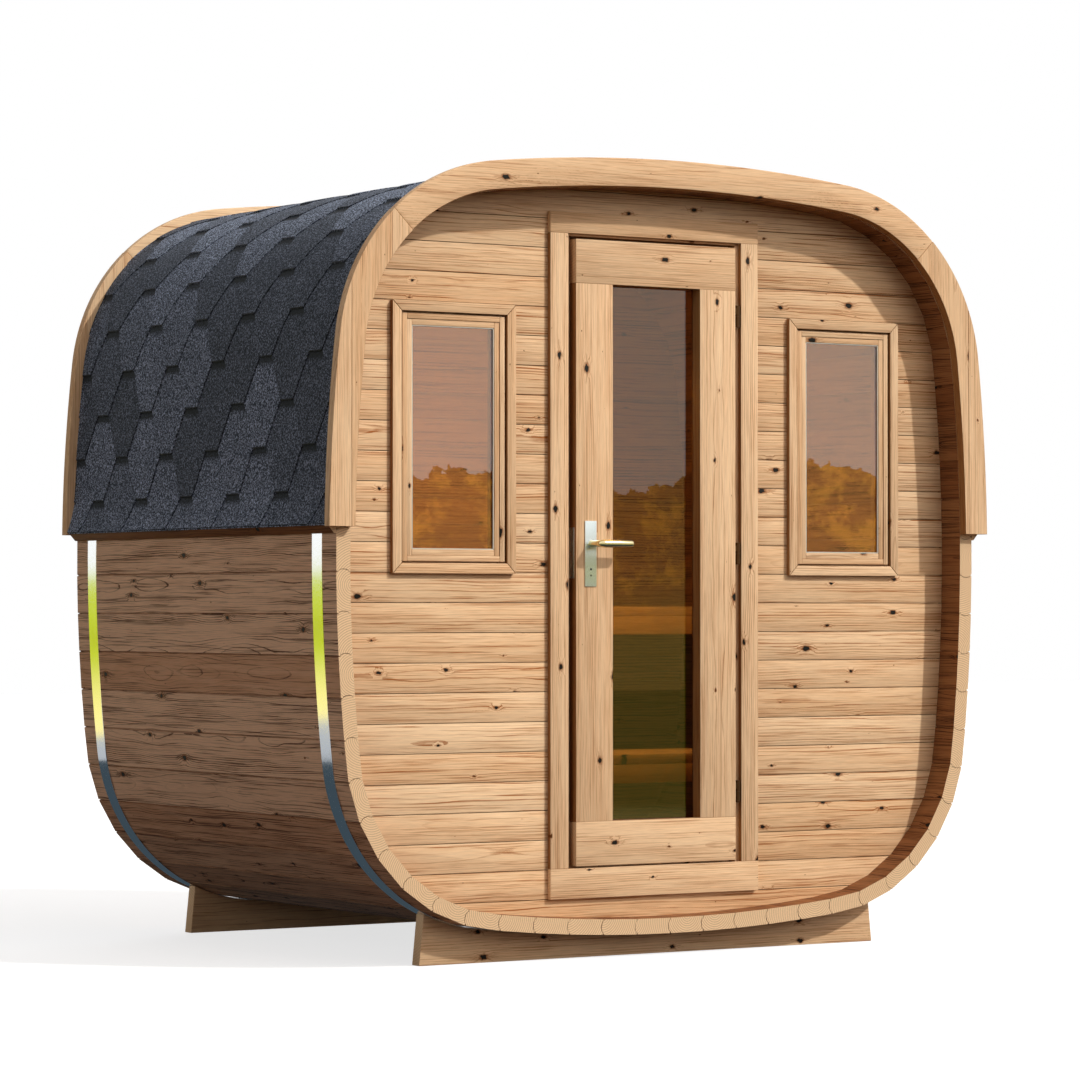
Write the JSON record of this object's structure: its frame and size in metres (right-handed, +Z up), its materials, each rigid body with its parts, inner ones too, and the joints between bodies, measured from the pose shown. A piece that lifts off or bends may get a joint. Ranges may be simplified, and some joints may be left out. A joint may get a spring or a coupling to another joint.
{
  "type": "cube sauna",
  "caption": "Free-standing cube sauna: lengthwise staves bent round a soft square, board end walls, a glazed door, two windows, a shingled arch roof and two cradles.",
  "frame": {"origin": "on the ground, under the middle of the shell", "axes": "+Z up, front wall with the door towards -Y, +X to the right seen from the front"},
  "size_m": [2.1712, 1.564, 2.166],
  "materials": {
    "stave_wood": "bare spruce, greying",
    "wall_wood": "bare spruce boards",
    "joinery_wood": "bare spruce, planed",
    "tinted_glass": "bronze tinted",
    "roof_felt": "mineral-surfaced bitumen",
    "fillet_wood": "stained softwood",
    "band_steel": "bright stainless",
    "bench_wood": "planed aspen",
    "fitting_steel": "satin stainless"
  },
  "bodies": {
    "shell": {"stave_floor": "stave_wood", "stave_wall_left": "stave_wood", "stave_wall_right": "stave_wood", "stave_roof": "stave_wood", "stave_corner_floor_left": "stave_wood", "stave_corner_floor_right": "stave_wood", "stave_corner_roof_left": "stave_wood", "stave_corner_roof_right": "stave_wood", "front_wall_left": "wall_wood", "front_wall_right": "wall_wood", "front_wall_over_door": "wall_wood", "front_wall_under_door": "wall_wood", "rear_wall": "wall_wood", "door_jamb_left": "joinery_wood", "door_jamb_right": "joinery_wood", "door_head": "joinery_wood", "door_sill": "joinery_wood", "door_stops": "joinery_wood", "door_trim_sides": "joinery_wood", "door_trim_top": "joinery_wood", "door_trim_foot": "joinery_wood", "window_trims": "joinery_wood", "window_sashes": "joinery_wood", "fascia_front_top": "joinery_wood", "fascia_front_left": "joinery_wood", "fascia_front_right": "joinery_wood", "fascia_rear_top": "joinery_wood", "fascia_rear_left": "joinery_wood", "fascia_rear_right": "joinery_wood", "cradle_front": "joinery_wood", "cradle_rear": "joinery_wood", "window_glass": "tinted_glass", "shingle_roof": "roof_felt", "eaves_fillets": "fillet_wood", "steel_bands": "band_steel", "bench_upper": "bench_wood", "bench_lower": "bench_wood", "hinge_pins": "fitting_steel"},
    "door": {"door_stile_left": "joinery_wood", "door_stile_right": "joinery_wood", "door_rail_top": "joinery_wood", "door_rail_foot": "joinery_wood", "door_glass": "tinted_glass", "door_plates": "fitting_steel", "hinge_caps": "fitting_steel"},
    "lever": {"door_levers": "fitting_steel"}
  },
  "joints": [
    {"name": "door_swing", "type": "hinge", "parent": "shell", "child": "door", "pos_m": [0.276, -0.684, 1.097], "axis": [0, 0, 1], "range_deg": [0, 110]},
    {"name": "lever_turn", "type": "hinge", "parent": "door", "child": "lever", "pos_m": [-0.219, -0.69, 1.12], "axis": [0, 1, 0], "range_deg": [0, 40], "stiffness_Nm_per_rad": 1, "springref_deg": -34.38}
  ]
}
